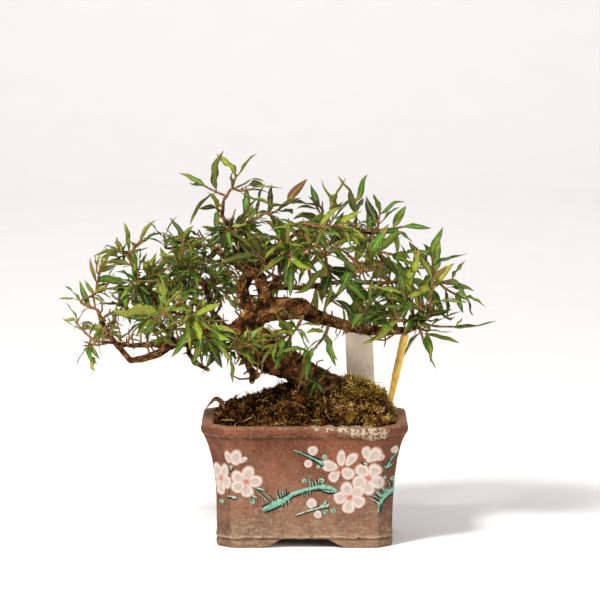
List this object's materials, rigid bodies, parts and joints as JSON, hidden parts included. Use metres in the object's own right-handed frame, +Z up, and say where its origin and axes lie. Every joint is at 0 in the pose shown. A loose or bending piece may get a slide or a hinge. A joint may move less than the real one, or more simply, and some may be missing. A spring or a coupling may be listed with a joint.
{
  "type": "asiatic jasmine bonsai",
  "caption": "Small bonsai tree with a leaning knobbly trunk, branches and narrow-leaved shoots, in a canted rectangular clay pot with moss, soil, a cane stake and a plain plant label.",
  "frame": {"origin": "middle of the whole object in X and Y, on the surface that the pot stands on", "axes": "+X to the right seen from the pot's front, +Y to the back, +Z up"},
  "size_m": [0.246, 0.1338, 0.2221],
  "materials": {
    "clay": "unglazed reddish-brown clay, worn",
    "screen": "matte",
    "soil": "dark granular soil",
    "moss": "olive moss",
    "bark": "rough flaking bark",
    "bamboo": "smooth cane",
    "label": "satin off-white",
    "leaf": "slightly glossy leaf"
  },
  "bodies": {
    "root": {"pot": "clay", "drain_screen": "screen", "soil": "soil", "moss": "moss", "trunk_and_branches": "bark", "stake": "bamboo", "label": "label", "left_tip": "leaf", "left_low_tip": "leaf", "left_under": "leaf", "left_crest_1": "leaf", "left_crest_2": "leaf", "left_crest_3": "leaf", "left_inner_1": "leaf", "left_inner_2": "leaf", "left_inner_3": "leaf", "left_inner_4": "leaf", "left_back_1": "leaf", "left_back_2": "leaf", "left_back_3": "leaf", "left_front_1": "leaf", "left_front_2": "leaf", "left_middle": "leaf", "low_left_1": "leaf", "low_left_2": "leaf", "apex_1": "leaf", "apex_2": "leaf", "apex_3": "leaf", "apex_4": "leaf", "apex_5": "leaf", "apex_6": "leaf", "top_1": "leaf", "top_2": "leaf", "top_3": "leaf", "top_4": "leaf", "top_5": "leaf", "top_6": "leaf", "top_7": "leaf", "top_8": "leaf", "top_9": "leaf", "top_10": "leaf", "top_11": "leaf", "right_1": "leaf", "right_2": "leaf", "right_3": "leaf", "right_4": "leaf", "right_5": "leaf", "right_6": "leaf", "right_7": "leaf", "right_8": "leaf", "right_9": "leaf", "right_10": "leaf", "right_11": "leaf", "back_1": "leaf", "back_2": "leaf", "back_3": "leaf", "back_4": "leaf", "centre_1": "leaf", "centre_2": "leaf", "centre_3": "leaf"}
  },
  "joints": []
}
